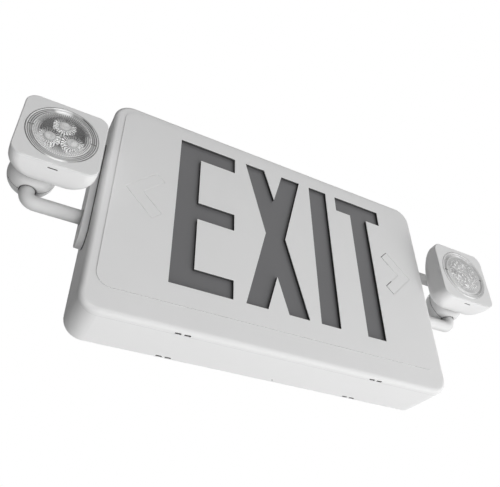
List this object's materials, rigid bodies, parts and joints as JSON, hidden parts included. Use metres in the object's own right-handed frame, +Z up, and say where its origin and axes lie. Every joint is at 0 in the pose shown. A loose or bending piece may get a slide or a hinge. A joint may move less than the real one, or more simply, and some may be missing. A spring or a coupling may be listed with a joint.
{
  "type": "emergency exit light",
  "caption": "Wall-mounted exit sign housing with stencil-cut letters and side arrows, and a swivelling square lamp head on a D-shaped rail at each side.",
  "frame": {"origin": "centre of the flat back face that lies on the wall, at the middle of the box screw holes", "axes": "+X to the reader's right along the sign, +Y into the wall, +Z up; the sign faces -Y"},
  "size_m": [0.4584, 0.0663, 0.2084],
  "materials": {
    "housing_white": "fine moulded texture",
    "head_white": "fine satin",
    "letter_grey": "flat translucent panel, unlit",
    "tray_white": "satin",
    "circuit_green": "satin",
    "transformer_dark": "varnished laminations",
    "battery_sleeve": "cells in a glossy shrink sleeve",
    "zinc_steel": "zinc plated",
    "spring_steel": "drawn wire",
    "terminal_plastic": "satin",
    "switch_black": "satin",
    "button_white": "satin",
    "status_clear": "clear tinted",
    "lens_clear": "clear",
    "reflector_metal": "metallised plastic",
    "optic_frosted": "frosted clear"
  },
  "bodies": {
    "housing": {"back_plate": "housing_white", "battery_pack": "battery_sleeve", "battery_strap": "zinc_steel", "board_screws": "zinc_steel", "button_spring": "spring_steel", "case_screws": "zinc_steel", "front_cover": "housing_white", "housing_frame": "housing_white", "led_strip_bottom": "circuit_green", "led_strip_top": "circuit_green", "left_arm_pad": "housing_white", "left_arm_rail": "head_white", "left_rail_nuts": "zinc_steel", "letter_diffuser": "letter_grey", "light_tray": "tray_white", "main_board": "circuit_green", "right_arm_pad": "housing_white", "right_arm_rail": "head_white", "right_rail_nuts": "zinc_steel", "side_board": "circuit_green", "status_lens": "status_clear", "terminal_block": "terminal_plastic", "test_switch": "switch_black", "transformer": "transformer_dark"},
    "test_button": {"test_button": "button_white"},
    "left_swivel": {"left_ball_front": "head_white", "left_ball_rear": "head_white", "left_ball_screws": "zinc_steel"},
    "left_head": {"left_head_board": "circuit_green", "left_head_lens": "lens_clear", "left_head_optics": "optic_frosted", "left_head_reflector": "reflector_metal", "left_head_shell": "head_white", "left_head_stud": "zinc_steel", "left_spring_washer": "spring_steel", "left_stud_nut": "zinc_steel"},
    "right_swivel": {"right_ball_front": "head_white", "right_ball_rear": "head_white", "right_ball_screws": "zinc_steel"},
    "right_head": {"right_head_board": "circuit_green", "right_head_lens": "lens_clear", "right_head_optics": "optic_frosted", "right_head_reflector": "reflector_metal", "right_head_shell": "head_white", "right_head_stud": "zinc_steel", "right_spring_washer": "spring_steel", "right_stud_nut": "zinc_steel"}
  },
  "joints": [
    {"name": "button_press", "type": "slide", "parent": "housing", "child": "test_button", "axis": [-1, 0, 0], "range_m": [0, 0.0018], "stiffness_N_per_m": 400, "springref_m": -0.0015, "deforming": ["button_spring"]},
    {"name": "left_pan", "type": "hinge", "parent": "housing", "child": "left_swivel", "pos_m": [-0.2094, -0.0223, 0.0126], "axis": [0, 0, 1], "range_deg": [-90, 5]},
    {"name": "left_tilt", "type": "hinge", "parent": "left_swivel", "child": "left_head", "pos_m": [-0.2094, -0.0223, 0.0126], "axis": [1, 0, 0], "range_deg": [-20, 20]},
    {"name": "right_pan", "type": "hinge", "parent": "housing", "child": "right_swivel", "pos_m": [0.2094, -0.0223, 0.0126], "axis": [0, 0, 1], "range_deg": [-5, 90]},
    {"name": "right_tilt", "type": "hinge", "parent": "right_swivel", "child": "right_head", "pos_m": [0.2094, -0.0223, 0.0126], "axis": [1, 0, 0], "range_deg": [-20, 20]}
  ]
}
